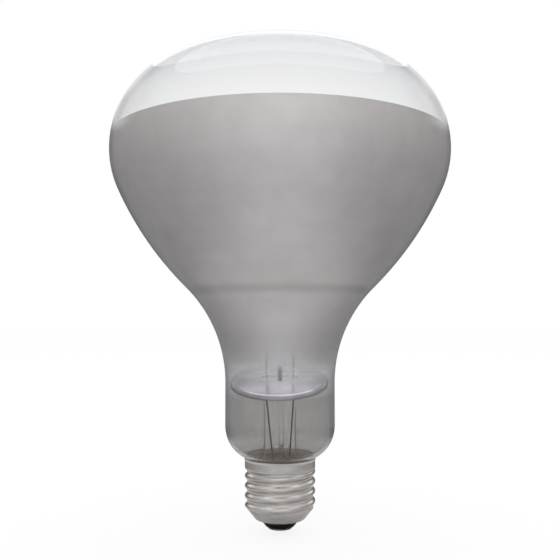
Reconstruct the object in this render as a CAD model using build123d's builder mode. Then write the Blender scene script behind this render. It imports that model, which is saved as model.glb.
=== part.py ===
from build123d import *
from math import acos, asin, atan2, cos, degrees, hypot, pi, radians, sin, sqrt
import os

# Infrared drying lamp, all sizes in millimetres.
# Z runs up from the cap to the clear face. The origin is the lowest point of the cap's
# centre contact, on the lamp's axis. -Y is the side that the photograph shows.

# Glass bulb: overall size and the arcs of its side outline, from the face to the cap
overall_height = 182.0
bulb_diameter = 127.0
neck_diameter = 40.9
crown_radius = 101.0
shoulder_radius = 35.0
shoulder_end_angle = 114.4
flank_radius = 121.0
flare_radius = 50.0
least_neck_length = 2.0
neck_end_radius = 13.0
neck_end_height = 38.7
bulb_wall = 1.0
seal_diameter = 22.0
seal_bottom_height = 18.0
seal_corner_radius = 1.5

# Reflector film on the inside of the bulb
film_thickness = 0.15
film_edge_rise = 4.77
film_bottom_height = 29.0

# Screw cap: shell of thin sheet with a rolled right-hand thread
shell_sheet = 0.35
rim_height = 26.8
rim_flare = 0.25
rim_bead_height = 0.8
thread_crest_diameter = 26.2
thread_root_diameter = 24.3
thread_pitch = 3.629
thread_round_radius = 1.025
thread_crest_height = 18.3
thread_turns_below = 4
skirt_bottom_height = 22.2
skirt_step_height = 0.9
thread_core_stand = 0.05
ridge_foot_depth = 0.03
run_out_height = 9.4
shell_bend_radius = 0.8
shell_cone_top_height = 8.3
shell_cone_bottom_height = 4.7
shell_cone_bottom_diameter = 18.6
shell_edge_height = 3.7
shell_edge_diameter = 13.6

# Black glass insulator, centre contact and solder
insulator_top_height = 7.8
insulator_bowl_height = 4.4
insulator_bottom_height = 1.6
insulator_nose_diameter = 10.4
insulator_nose_round = 1.0
contact_diameter = 9.0
contact_bottom_height = 0.95
contact_edge_round = 0.3
eyelet_diameter = 2.6
eyelet_top_height = 5.0
solder_dome_diameter = 5.6
side_solder_diameter = 1.7
side_solder_drop = 0.7
side_solder_stand = 0.2
side_lead_azimuth = 70.0
rim_notch_width = 0.9
rim_notch_depth = 1.2

# Basing cement between glass and shell
cement_bottom_height = 23.6
cement_top_height = 26.1

# Glass stem: flare tube and press, and the exhaust tube and centre rod fused to it
stem_tube_diameter = 13.0
stem_wall = 0.9
stem_rim_height = 1.6
stem_flare_length = 14.0
stem_tube_length = 11.0
stem_taper_length = 8.0
press_height = 11.0
press_width = 13.6
press_thickness = 4.6
press_edge_round = 1.9
press_top_round = 0.6
stem_slit_cover = 1.0
stem_slit_width = 11.8
stem_slit_thickness = 1.4
exhaust_diameter = 3.1
exhaust_bore = 1.7
exhaust_bore_cover = 1.4
exhaust_port_rise = 2.5
exhaust_bottom_height = 10.0
exhaust_top_offset = 0.15
exhaust_lean = 0.9
exhaust_end_round = 1.1
rod_diameter = 3.2
button_diameter = 5.6
button_drop = 7.0

# Wires
outer_lead_diameter = 0.6
inner_lead_diameter = 0.8
seal_wire_diameter = 0.5
lead_spacing = 10.0
seal_wire_inset = 2.0
lead_bend_radius = 3.0
left_lead_waist = -2.6
right_lead_waist = 3.5
lead_waist_height = 25.0
left_lead_low = -1.7
side_lead_turn_height = 15.5
side_lead_top_height = 26.2
wire_clearance = 0.1

# Heat shield across the neck
shield_diameter = 36.0
shield_sheet = 0.4
shield_rise = 3.25
shield_tilt = 15.5
shield_roll = 1.1
shield_edge_round = 1.4
shield_lip = 0.4
shield_slot_clearance = 0.35
shield_tab_width = 2.2
shield_tab_height = 2.4
shield_tab_place = 4.2

# Filament ring, its clamps on the leads and its support hooks
filament_drop = 22.5
filament_ring_radius = 14.0
filament_coil_diameter = 1.3
filament_gap_angle = 46.0
clamp_diameter = 2.2
clamp_length = 2.4
inner_lead_bend_share = 0.62
hook_count = 5
hook_wire_diameter = 0.4
hook_root_depth = 1.4
hook_loop_angle = 265.0

os.makedirs("parts", exist_ok=True)


# Side outlines: a point is (distance from the axis, height), an angle is in radians and runs
# from straight up towards the outside
def on_circle(centre, radius, angle):
    """Point of a circle at an angle."""
    return (centre[0] + radius * sin(angle), centre[1] + radius * cos(angle))


def arc_between(centre, radius, start, end):
    """Arc of a circle from one angle to another."""
    middle = (start + end) / 2
    return ThreePointArc(
        on_circle(centre, radius, start),
        on_circle(centre, radius, middle),
        on_circle(centre, radius, end),
    )


def angle_towards(centre, point):
    """Angle of the way from a centre to a point."""
    return atan2(point[0] - centre[0], point[1] - centre[1])


def angle_at_height(centre, radius, height):
    """Angle where a circle passes a height on its outer side."""
    return acos((height - centre[1]) / radius)


# Centres of the arcs of the bulb's outline, where each arc is tangent to the next. The flare
# keeps to its radius only while that leaves a straight neck below it.
bulb_radius = bulb_diameter / 2
neck_radius = neck_diameter / 2
seal_radius = seal_diameter / 2
crown_centre = (0.0, overall_height - crown_radius)
shoulder_offset = bulb_radius - shoulder_radius
shoulder_rise = sqrt((crown_radius - shoulder_radius) ** 2 - shoulder_offset**2)
shoulder_centre = (shoulder_offset, crown_centre[1] + shoulder_rise)
shoulder_end = radians(shoulder_end_angle)
flank_centre = on_circle(shoulder_centre, shoulder_radius - flank_radius, shoulder_end)
flank_reach = neck_radius - flank_centre[0]
flank_room = flank_centre[1] - neck_end_height - least_neck_length
flare_room = (flank_room**2 - flank_radius**2 + flank_reach**2) / (2 * (flank_radius - flank_reach))
flare_fit = min(flare_radius, flare_room)
flare_drop = sqrt((flank_radius + flare_fit) ** 2 - (flank_reach + flare_fit) ** 2)
flare_centre = (neck_radius + flare_fit, flank_centre[1] - flare_drop)
neck_end_centre = (neck_radius - neck_end_radius, neck_end_height)
crown_end = angle_towards(crown_centre, shoulder_centre)
flank_end = angle_towards(flank_centre, flare_centre)


def flank_and_neck(inset, shoulder_start):
    """The bulb's outline from an angle of its shoulder down to the end of the straight neck."""
    wall_radius = neck_radius - inset
    arc_between(shoulder_centre, shoulder_radius - inset, shoulder_start, shoulder_end)
    arc_between(flank_centre, flank_radius - inset, shoulder_end, flank_end)
    arc_between(flare_centre, flare_fit + inset, flank_end + pi, 3 * pi / 2)
    Line((wall_radius, flare_centre[1]), (wall_radius, neck_end_height))


def whole_side(inset):
    """The bulb's outline from the crown to the foot of the seal. It gives back the corner where
    the rounded neck end turns down into the seal."""
    end_radius = neck_end_radius - inset
    foot_radius = seal_radius - inset
    end_angle = pi - asin((foot_radius - neck_end_centre[0]) / end_radius)
    corner = on_circle(neck_end_centre, end_radius, end_angle)
    arc_between(crown_centre, crown_radius - inset, 0.0, crown_end)
    flank_and_neck(inset, crown_end)
    arc_between(neck_end_centre, end_radius, pi / 2, end_angle)
    Line(corner, (foot_radius, seal_bottom_height))
    return corner


# Glass bulb
with BuildSketch() as bulb_section:
    with BuildLine():
        outer_corner = whole_side(0.0)
        inner_corner = whole_side(bulb_wall)
        Line((0, overall_height), (0, overall_height - bulb_wall))
        Line((seal_radius, seal_bottom_height), (seal_radius - bulb_wall, seal_bottom_height))
    make_face()
    corners = bulb_section.vertices()
    fillet(corners.sort_by_distance(outer_corner)[0], seal_corner_radius)
    fillet(corners.sort_by_distance(inner_corner)[0], seal_corner_radius + bulb_wall)

with BuildPart() as glass_bulb:
    with BuildSketch(Plane.XZ):
        add(bulb_section.sketch)
    revolve(axis=Axis.Z)
glass_bulb.part.label = "glass_bulb"


# Reflector film, a thin lining from just above the widest place down to the rounded neck end
film_edge_height = shoulder_centre[1] + film_edge_rise


def film_side(inset):
    """One side of the film. It gives back the two ends."""
    low_radius = neck_end_radius - inset
    start = angle_at_height(shoulder_centre, shoulder_radius - inset, film_edge_height)
    end = angle_at_height(neck_end_centre, low_radius, film_bottom_height)
    flank_and_neck(inset, start)
    arc_between(neck_end_centre, low_radius, pi / 2, end)
    top_point = on_circle(shoulder_centre, shoulder_radius - inset, start)
    return top_point, on_circle(neck_end_centre, low_radius, end)


with BuildPart() as reflector_film:
    with BuildSketch(Plane.XZ):
        with BuildLine():
            glass_top, glass_end = film_side(bulb_wall)
            bare_top, bare_end = film_side(bulb_wall + film_thickness)
            Line(glass_top, bare_top)
            Line(glass_end, bare_end)
        make_face()
    revolve(axis=Axis.Z)
reflector_film.part.label = "reflector_film"

# Cap shell, first its turned form: lower edge, cone, core of the thread, plain skirt and rim
crest_radius = thread_crest_diameter / 2
root_radius = thread_root_diameter / 2
core_radius = root_radius + thread_core_stand
cone_radius = shell_cone_bottom_diameter / 2
edge_radius = shell_edge_diameter / 2
rim_radius = crest_radius + rim_flare
half_pitch = thread_pitch / 2

with BuildLine() as shell_side:
    Polyline(
        (edge_radius, shell_edge_height),
        (cone_radius, shell_cone_bottom_height),
        (core_radius, shell_cone_top_height),
        (core_radius, skirt_bottom_height),
        (crest_radius, skirt_bottom_height + skirt_step_height),
        (crest_radius, rim_height - rim_bead_height),
        (rim_radius, rim_height),
    )
    bends = shell_side.vertices().sort_by(Axis.Y)[1:-1]
    fillet(bends, shell_bend_radius)

inner_side = offset(shell_side.line, amount=shell_sheet, side=Side.LEFT, closed=False)

with BuildSketch() as shell_section:
    with BuildLine():
        add(shell_side.line)
        offset(amount=shell_sheet, side=Side.LEFT)
    make_face()

# The room inside the turned form, which the insulator and the cement fill in part
with BuildSketch() as shell_room:
    with BuildLine():
        add(inner_side)
        low_end = inner_side.vertices().sort_by(Axis.Y)[0]
        top_end = inner_side.vertices().sort_by(Axis.Y)[-1]
        Polyline(low_end, (0, low_end.Y), (0, top_end.Y), top_end)
    make_face()


def ridge_outline(inset):
    """Section of the thread's ridge about the core's wall: a round crest that runs by straight
    flanks into round roots. The inset is one sheet for the hollow behind the ridge."""
    crest_round = thread_round_radius - inset
    root_round = thread_round_radius + inset
    crest_x = crest_radius - thread_round_radius - core_radius
    root_x = root_radius + thread_round_radius - core_radius
    reach = hypot(root_x - crest_x, half_pitch)
    flank = atan2(half_pitch, root_x - crest_x) + asin(2 * thread_round_radius / reach)
    across, up = sin(flank), -cos(flank)
    foot_x = -inset - ridge_foot_depth
    foot_z = half_pitch - sqrt(root_round**2 - (root_x - foot_x) ** 2)
    back_x = foot_x - shell_sheet
    middle = (asin(up) + asin((half_pitch - foot_z) / root_round)) / 2
    for side in (1, -1):
        root_start = (root_x - root_round * across, side * (half_pitch - root_round * up))
        root_middle = (root_x - root_round * cos(middle), side * (half_pitch - root_round * sin(middle)))
        Line((crest_x + crest_round * across, side * crest_round * up), root_start)
        ThreePointArc(root_start, root_middle, (foot_x, side * foot_z))
        Line((foot_x, side * foot_z), (back_x, side * foot_z))
    ThreePointArc(
        (crest_x + crest_round * across, crest_round * up),
        (crest_x + crest_round, 0),
        (crest_x + crest_round * across, -crest_round * up),
    )
    Line((back_x, foot_z), (back_x, -foot_z))


def thread_ridge(inset):
    """The ridge wound right-handed about the core. Above it ends in the skirt's edge, and below
    it runs out on a slope that meets the top of the cone."""
    start = thread_crest_height - thread_turns_below * thread_pitch
    outer = crest_radius + shell_sheet - inset
    top = skirt_bottom_height + skirt_step_height / 2 - inset
    slope = (run_out_height - shell_cone_top_height) / (crest_radius - core_radius)
    low = shell_cone_top_height + inset * (sqrt(1 + slope**2) - slope)
    with BuildPart() as ridge:
        with BuildLine() as winding:
            Helix(
                pitch=thread_pitch,
                height=skirt_bottom_height + skirt_step_height / 2 - start,
                radius=core_radius,
                center=(0, 0, start),
            )
        wound = winding.line
        with BuildSketch(Plane(wound @ 0, x_dir=(1, 0, 0), z_dir=wound % 0)):
            with BuildLine():
                ridge_outline(inset)
            make_face()
        sweep(path=wound, is_frenet=True)
        with BuildSketch(Plane.XZ):
            with BuildLine():
                Polyline(
                    (0, low),
                    (core_radius - inset, low),
                    (outer, low + slope * (outer - core_radius + inset)),
                    (outer, top),
                    (0, top),
                    close=True,
                )
            make_face()
        revolve(axis=Axis.Z, mode=Mode.INTERSECT)
    return ridge.part


with BuildPart() as cap_shell:
    with BuildSketch(Plane.XZ):
        add(shell_section.sketch)
    revolve(axis=Axis.Z)
    add(thread_ridge(0.0))
    with BuildSketch(Plane.XZ):
        add(shell_room.sketch)
    revolve(axis=Axis.Z, mode=Mode.SUBTRACT)
    add(thread_ridge(shell_sheet), mode=Mode.SUBTRACT)
    with BuildSketch(Plane.XY.offset(rim_height - rim_notch_depth)):
        with PolarLocations(crest_radius, 1, start_angle=side_lead_azimuth):
            Rectangle(2 * (shell_sheet + rim_flare), rim_notch_width)
    extrude(amount=2 * rim_notch_depth, mode=Mode.SUBTRACT)
cap_shell.part.label = "cap_shell"

# Centre contact, a flat plate with an eyelet that holds it in the insulator
contact_radius = contact_diameter / 2
eyelet_radius = eyelet_diameter / 2
eyelet_bore_radius = outer_lead_diameter / 2 + wire_clearance
with BuildPart() as centre_contact:
    with BuildSketch(Plane.XY.offset(contact_bottom_height)):
        Circle(contact_radius)
    extrude(amount=insulator_bottom_height - contact_bottom_height)
    fillet(centre_contact.edges().group_by(Axis.Z)[0], contact_edge_round)
    with BuildSketch(Plane.XY.offset(insulator_bottom_height)):
        Circle(eyelet_radius)
    extrude(amount=eyelet_top_height - insulator_bottom_height)
    with BuildSketch(Plane.XY.offset(contact_bottom_height)):
        Circle(eyelet_bore_radius)
    extrude(amount=eyelet_top_height - contact_bottom_height, mode=Mode.SUBTRACT)
centre_contact.part.label = "centre_contact"

# Solder on the centre contact, a flat drop
with BuildPart() as contact_solder:
    with BuildSketch(Plane.XZ):
        with BuildLine():
            dome_edge = (solder_dome_diameter / 2, contact_bottom_height)
            dome_radius = (dome_edge[0] ** 2 + dome_edge[1] ** 2) / (2 * dome_edge[1])
            dome_turn = asin(dome_edge[0] / dome_radius)
            arc_between((0, dome_radius), dome_radius, pi, pi - dome_turn)
            Polyline(dome_edge, (0, contact_bottom_height), (0, 0))
        make_face()
    revolve(axis=Axis.Z)
contact_solder.part.label = "contact_solder"

# Black glass insulator: a bowl that fills the shell's cone, and a nose below the shell's edge
nose_radius = insulator_nose_diameter / 2
with BuildPart() as cap_insulator:
    with BuildSketch(Plane.XZ) as insulator_section:
        add(shell_room.sketch)
        with BuildLine():
            Polyline(
                (eyelet_radius, shell_edge_height),
                (eyelet_radius, insulator_bowl_height),
                (core_radius, insulator_top_height),
                (core_radius, shell_edge_height),
                close=True,
            )
        make_face(mode=Mode.INTERSECT)
        with BuildLine():
            Polyline(
                (eyelet_radius, insulator_bottom_height),
                (nose_radius, insulator_bottom_height),
                (edge_radius, shell_edge_height),
                (edge_radius, insulator_bowl_height),
                (eyelet_radius, insulator_bowl_height),
                close=True,
            )
        make_face()
        add(shell_section.sketch, mode=Mode.SUBTRACT)
        nose_corner = (nose_radius, insulator_bottom_height)
        fillet(insulator_section.vertices().sort_by_distance(nose_corner)[0], insulator_nose_round)
    revolve(axis=Axis.Z)
cap_insulator.part.label = "cap_insulator"

# Heights of the stem and its press, one after the other from the foot of the seal, and of the
# filament, which keeps its place below the widest circle of the bulb
stem_flare_top_height = seal_bottom_height + stem_flare_length
stem_tube_top_height = stem_flare_top_height + stem_tube_length
press_bottom_height = stem_tube_top_height + stem_taper_length
press_top_height = press_bottom_height + press_height
filament_height = shoulder_centre[1] - filament_drop
button_height = filament_height - button_drop

# Lead wires. Outside the bulb they run in the stem's air side, the left one to the centre
# contact and the right one round the seal to the cap's rim.
half_spacing = lead_spacing / 2
lead_joint_height = press_bottom_height + seal_wire_inset
glass_entry_height = press_bottom_height - lead_bend_radius
side_lead_low_radius = (seal_radius + core_radius - shell_sheet) / 2
side_lead_turn_radius = crest_radius - shell_sheet - outer_lead_diameter / 2 - wire_clearance


def round_azimuth(radius, height):
    """Point at the side lead's azimuth."""
    turn = radians(side_lead_azimuth)
    return (radius * cos(turn), radius * sin(turn), height)


def wire_along(points, diameter, bend_radius):
    """A round wire along straight runs joined by equal arcs."""
    with BuildPart() as wire:
        with BuildLine() as run:
            FilletPolyline(*points, radius=bend_radius)
        with BuildSketch(Plane(run.line @ 0, z_dir=run.line % 0)):
            Circle(diameter / 2)
        sweep(path=run.line)
    return wire.part


left_outer_lead = wire_along(
    [
        (-half_spacing, 0, lead_joint_height),
        (-half_spacing, 0, glass_entry_height),
        (left_lead_waist, 0, lead_waist_height),
        (left_lead_low, 0, exhaust_bottom_height + lead_bend_radius),
        (0, 0, eyelet_top_height + lead_bend_radius),
        (0, 0, contact_bottom_height),
    ],
    outer_lead_diameter,
    lead_bend_radius,
)
left_outer_lead.label = "left_outer_lead"

right_outer_lead = wire_along(
    [
        (half_spacing, 0, lead_joint_height),
        (half_spacing, 0, glass_entry_height),
        (right_lead_waist, 0, lead_waist_height),
        (right_lead_waist, 0, side_lead_turn_height),
        round_azimuth(side_lead_low_radius, side_lead_turn_height),
        round_azimuth(side_lead_low_radius, skirt_bottom_height + skirt_step_height),
        round_azimuth(side_lead_turn_radius, side_lead_top_height - outer_lead_diameter),
        round_azimuth(crest_radius, side_lead_top_height),
    ],
    outer_lead_diameter,
    outer_lead_diameter,
)
right_outer_lead.label = "right_outer_lead"

# Seal wires, the short wires inside the press between the outer and the inner leads
inner_lead_foot_height = press_top_height - seal_wire_inset
seal_wires = []
for name, side in (("left_seal_wire", -1), ("right_seal_wire", 1)):
    with BuildPart() as seal_wire:
        with BuildSketch(Plane.XY.offset(lead_joint_height)):
            with Locations((side * half_spacing, 0)):
                Circle(seal_wire_diameter / 2)
        extrude(amount=inner_lead_foot_height - lead_joint_height)
    seal_wire.part.label = name
    seal_wires.append(seal_wire.part)

# Inner lead wires, each with a clamp folded round an end of the filament
ring_start = 90 + filament_gap_angle / 2
ring_sweep = 360 - filament_gap_angle
clamp_turn = degrees(clamp_length / filament_ring_radius)
lead_rise = filament_height - inner_lead_foot_height
inner_lead_bend_height = inner_lead_foot_height + inner_lead_bend_share * lead_rise
inner_leads = []
for name, side in (("left_inner_lead", -1), ("right_inner_lead", 1)):
    clamp_middle = radians(90 - side * (filament_gap_angle + clamp_turn) / 2)
    clamp_x = filament_ring_radius * cos(clamp_middle)
    clamp_y = filament_ring_radius * sin(clamp_middle)
    clamp_foot = filament_height - (clamp_diameter + filament_coil_diameter) / 4
    lead_wire = wire_along(
        [
            (side * half_spacing, 0, inner_lead_foot_height),
            (side * half_spacing, 0, inner_lead_bend_height),
            (clamp_x, clamp_y, filament_height - 2 * lead_bend_radius),
            (clamp_x, clamp_y, clamp_foot),
        ],
        inner_lead_diameter,
        lead_bend_radius,
    )
    first_angle = ring_start if side < 0 else ring_start + ring_sweep - clamp_turn
    with BuildPart() as inner_lead:
        with BuildLine(Plane.XY.offset(filament_height)) as clamp_run:
            CenterArc((0, 0), filament_ring_radius, first_angle, clamp_turn)
        with BuildSketch(Plane(clamp_run.line @ 0, z_dir=clamp_run.line % 0)):
            Circle(clamp_diameter / 2)
        sweep(path=clamp_run.line)
        add(lead_wire)
        with BuildSketch(Plane(clamp_run.line @ 0, z_dir=clamp_run.line % 0)):
            Circle(filament_coil_diameter / 2)
        sweep(path=clamp_run.line, mode=Mode.SUBTRACT)
    inner_lead.part.label = name
    inner_leads.append(inner_lead.part)

# Filament, an open ring as thick as its coil
with BuildPart() as filament:
    with BuildLine(Plane.XY.offset(filament_height)) as ring_run:
        CenterArc((0, 0), filament_ring_radius, ring_start, ring_sweep)
    with BuildSketch(Plane(ring_run.line @ 0, z_dir=ring_run.line % 0)):
        Circle(filament_coil_diameter / 2)
    sweep(path=ring_run.line)
filament.part.label = "filament"

# Support hooks, each a wire from the glass button to an open loop round the filament
loop_radius = (filament_coil_diameter + hook_wire_diameter) / 2
button_radius = button_diameter / 2
hook_root = (button_radius - hook_root_depth, button_height)
rise = filament_height - hook_root[1]
reach = filament_ring_radius - hook_root[0]
hook_angle = atan2(rise, reach) - asin(loop_radius / hypot(rise, reach))
loop_start = (
    filament_ring_radius + loop_radius * sin(hook_angle),
    filament_height - loop_radius * cos(hook_angle),
)
support_hooks = []
for number in range(1, hook_count + 1):
    azimuth = radians(ring_start + ring_sweep * number / (hook_count + 1))
    radial = Plane(
        origin=(0, 0, 0),
        x_dir=(cos(azimuth), sin(azimuth), 0),
        z_dir=(sin(azimuth), -cos(azimuth), 0),
    )
    with BuildPart() as support_hook:
        with BuildLine(radial) as hook_run:
            Line(hook_root, loop_start)
            JernArc(
                start=loop_start,
                tangent=(cos(hook_angle), sin(hook_angle)),
                radius=loop_radius,
                arc_size=hook_loop_angle,
            )
        with BuildSketch(Plane(hook_run.line @ 0, z_dir=hook_run.line % 0)):
            Circle(hook_wire_diameter / 2)
        sweep(path=hook_run.line)
    support_hook.part.label = f"support_hook_{number}"
    support_hooks.append(support_hook.part)

# Centre rod of glass, with the button that the hooks are pressed into
with BuildPart() as centre_rod:
    with BuildSketch(Plane.XY.offset(press_top_height)):
        Circle(rod_diameter / 2)
    extrude(amount=button_height - press_top_height)
    with Locations((0, 0, button_height)):
        Sphere(button_radius)
    for hook in support_hooks:
        add(hook, mode=Mode.SUBTRACT)
centre_rod.part.label = "centre_rod"

# Exhaust tube: it leans a little, its top is set in the press and its foot is melted shut
exhaust_radius = exhaust_diameter / 2
exhaust_length = press_bottom_height - exhaust_bottom_height
exhaust_foot = Plane(
    origin=(exhaust_top_offset + exhaust_lean, 0, exhaust_bottom_height),
    z_dir=(-exhaust_lean, 0, exhaust_length),
)
with BuildPart() as exhaust_body:
    with BuildSketch(exhaust_foot):
        Circle(exhaust_radius)
    extrude(amount=exhaust_length)
    fillet(exhaust_body.edges().sort_by(Axis.Z)[0], exhaust_end_round)

with BuildPart() as exhaust_tube:
    add(exhaust_body.part)
    with BuildSketch(exhaust_foot.offset(exhaust_diameter)):
        Circle(exhaust_bore / 2)
    extrude(amount=exhaust_length, mode=Mode.SUBTRACT)
exhaust_tube.part.label = "exhaust_tube"

# Glass stem: flared tube that the bulb is sealed to, flattened above into the press
tube_radius = stem_tube_diameter / 2
seal_inner_radius = seal_radius - bulb_wall
stem_rim_top_height = seal_bottom_height + stem_rim_height
bore_radius = exhaust_bore / 2
exhaust_bore_top_height = press_top_height - exhaust_bore_cover
with BuildPart() as glass_stem:
    with BuildSketch(Plane.XZ):
        with BuildLine():
            Line((tube_radius, stem_tube_top_height), (tube_radius, stem_flare_top_height))
            TangentArc(
                (tube_radius, stem_flare_top_height),
                (seal_inner_radius, stem_rim_top_height),
                tangent=(0, -1),
            )
            Line((seal_inner_radius, stem_rim_top_height), (seal_inner_radius, seal_bottom_height))
            offset(amount=stem_wall, side=Side.RIGHT)
        make_face()
    revolve(axis=Axis.Z)
    with BuildSketch(Plane.XY.offset(stem_tube_top_height)):
        Circle(tube_radius)
    with BuildSketch(Plane.XY.offset(press_bottom_height)):
        RectangleRounded(press_width, press_thickness, press_edge_round)
    loft()
    with BuildSketch(Plane.XY.offset(press_bottom_height)):
        RectangleRounded(press_width, press_thickness, press_edge_round)
    extrude(amount=press_top_height - press_bottom_height)
    fillet(glass_stem.faces().sort_by(Axis.Z)[-1].edges(), press_top_round)
    with BuildSketch(Plane.XY.offset(stem_tube_top_height)):
        Circle(tube_radius - stem_wall)
    with BuildSketch(Plane.XY.offset(press_bottom_height - stem_slit_cover)):
        Ellipse(stem_slit_width / 2, stem_slit_thickness / 2)
    loft(mode=Mode.SUBTRACT)
    add(exhaust_body.part, mode=Mode.SUBTRACT)
    with BuildSketch(Plane.XZ):
        with BuildLine():
            Polyline(
                (0, press_bottom_height),
                (bore_radius, press_bottom_height),
                (bore_radius, exhaust_bore_top_height - bore_radius),
                (0, exhaust_bore_top_height),
                close=True,
            )
        make_face()
    revolve(axis=Axis.Z, mode=Mode.SUBTRACT)
    with BuildSketch(Plane.XZ):
        with Locations((0, press_bottom_height + exhaust_port_rise)):
            Circle(bore_radius)
    extrude(amount=-press_thickness, mode=Mode.SUBTRACT)
    for wire in (left_outer_lead, right_outer_lead, *seal_wires, *inner_leads):
        add(wire, mode=Mode.SUBTRACT)
glass_stem.part.label = "glass_stem"

# Heat shield: a disc with a turned-down edge, set askew on the press, which it grips with a tab
# on each side of its slot
shield_height = press_bottom_height + shield_rise
shield_plane = Plane(origin=(0, 0, shield_height)).rotated((shield_tilt, -shield_roll, 0))
shield_radius = shield_diameter / 2
flat_radius = shield_radius - shield_edge_round
slot_width = press_width + 2 * shield_slot_clearance
slot_depth = press_thickness / cos(radians(shield_tilt)) + 2 * shield_slot_clearance
with BuildPart() as heat_shield:
    shield_section = Plane(
        origin=shield_plane.origin, x_dir=shield_plane.x_dir, z_dir=-shield_plane.y_dir
    )
    with BuildSketch(shield_section):
        with BuildLine():
            Line((0, 0), (flat_radius, 0))
            arc_between((flat_radius, -shield_edge_round), shield_edge_round, 0, pi / 2)
            Line((shield_radius, -shield_edge_round), (shield_radius, -shield_edge_round - shield_lip))
            offset(amount=shield_sheet, side=Side.RIGHT)
        make_face()
    revolve(axis=Axis(shield_plane.origin, shield_plane.z_dir))
    with BuildSketch(shield_plane):
        RectangleRounded(slot_width, slot_depth, press_edge_round)
    extrude(amount=2 * shield_sheet, both=True, mode=Mode.SUBTRACT)
    for side in (-1, 1):
        face_y = side * (press_thickness / 2 + shield_sheet / 2)
        root_y = side * (slot_depth / 2 + 2 * shield_sheet)
        slope = sin(radians(shield_tilt)) / cos(radians(shield_tilt))
        roll_drop = side * shield_tab_place * sin(radians(shield_roll))
        root_z = shield_height - shield_sheet / 2 + root_y * slope + roll_drop
        bend_z = shield_height - shield_sheet / 2 + face_y * slope + roll_drop
        with BuildSketch(Plane.YZ.offset(side * shield_tab_place - shield_tab_width / 2)):
            with BuildLine():
                Polyline((root_y, root_z), (face_y, bend_z), (face_y, bend_z + shield_tab_height))
                offset(amount=shield_sheet / 2)
            make_face()
        extrude(amount=shield_tab_width)
heat_shield.part.label = "heat_shield"

# Side solder, the drop that joins the right outer lead to the cap's rim
with BuildPart() as side_solder:
    with Locations(round_azimuth(crest_radius + side_solder_stand, rim_height - side_solder_drop)):
        Sphere(side_solder_diameter / 2)
    add(cap_shell.part, mode=Mode.SUBTRACT)
    add(right_outer_lead, mode=Mode.SUBTRACT)
side_solder.part.label = "side_solder"

# Basing cement, the ring that holds the glass in the shell
with BuildPart() as basing_cement:
    with BuildSketch(Plane.XZ):
        add(shell_room.sketch)
        with BuildLine():
            Polyline(
                (seal_radius, cement_bottom_height),
                (rim_radius, cement_bottom_height),
                (rim_radius, cement_top_height),
                (seal_radius, cement_top_height),
                close=True,
            )
        make_face(mode=Mode.INTERSECT)
        add(bulb_section.sketch, mode=Mode.SUBTRACT)
    revolve(axis=Axis.Z)
    add(right_outer_lead, mode=Mode.SUBTRACT)
    add(side_solder.part, mode=Mode.SUBTRACT)
basing_cement.part.label = "basing_cement"

# Each piece goes into its own file
pieces = [
    glass_bulb.part,
    reflector_film.part,
    heat_shield.part,
    glass_stem.part,
    exhaust_tube.part,
    centre_rod.part,
    filament.part,
    *support_hooks,
    *inner_leads,
    *seal_wires,
    left_outer_lead,
    right_outer_lead,
    basing_cement.part,
    cap_shell.part,
    cap_insulator.part,
    centre_contact.part,
    contact_solder.part,
    side_solder.part,
]
for piece in pieces:
    export_step(piece, f"parts/{piece.label}.step")
    print(f"{piece.label}: {len(piece.solids())} solid, {piece.volume:.1f} cubic millimetres")
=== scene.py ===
# %% [markdown]
# # An infrared drying lamp
# The lamp is a big blown bulb with a clear face. Its sides are silvered on the inside, so that
# the heat goes out through the face. Below the silvered bowl comes a straight neck, where the
# silvering thins out and the heat shield, the stem and two lead wires show through it. A screw
# cap of bright sheet with a black glass nose closes the lamp.
#
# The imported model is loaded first. It stands at its real size with the lowest point of the cap
# at the origin, and every piece made here is made in the same place.

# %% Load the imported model
from math import acos, asin, atan2, cos, degrees, hypot, pi, radians, sin, sqrt

import bmesh
import bpy
from mathutils import Matrix, Vector


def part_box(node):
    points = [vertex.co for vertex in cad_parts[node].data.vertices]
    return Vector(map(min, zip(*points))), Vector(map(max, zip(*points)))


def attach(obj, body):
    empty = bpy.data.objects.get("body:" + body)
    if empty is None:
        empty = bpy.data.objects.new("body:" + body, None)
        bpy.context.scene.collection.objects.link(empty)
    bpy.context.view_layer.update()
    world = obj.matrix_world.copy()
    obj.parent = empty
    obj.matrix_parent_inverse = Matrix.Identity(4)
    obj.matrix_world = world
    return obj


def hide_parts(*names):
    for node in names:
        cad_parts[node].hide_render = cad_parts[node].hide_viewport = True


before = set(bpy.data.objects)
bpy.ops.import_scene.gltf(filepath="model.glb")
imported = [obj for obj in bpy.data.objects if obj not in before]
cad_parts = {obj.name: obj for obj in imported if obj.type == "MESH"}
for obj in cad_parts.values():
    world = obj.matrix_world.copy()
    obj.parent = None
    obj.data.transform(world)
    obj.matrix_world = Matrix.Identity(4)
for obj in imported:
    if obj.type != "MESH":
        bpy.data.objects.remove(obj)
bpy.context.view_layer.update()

MM = 0.001
scene = bpy.context.scene

# %% [markdown]
# ## Small helpers for pieces
# Every piece rides on the lamp's one body and stands for the node that it replaces. A bmesh is
# turned into such a piece by one function. The wires and other small turned pieces are kept as
# they come: a copy of the node is merged and shaded smooth, with its real edges left sharp.

# %% Helpers for pieces
MERGE = 0.002 * MM
SHARP = radians(32)


def finish_piece(obj, node, material):
    """The object takes its material, rides on the lamp and stands for a node."""
    obj.data.materials.clear()
    obj.data.materials.append(material)
    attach(obj, "root")
    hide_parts(node)
    print(obj.name, "has", sum(len(p.vertices) - 2 for p in obj.data.polygons), "triangles")
    return obj


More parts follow.
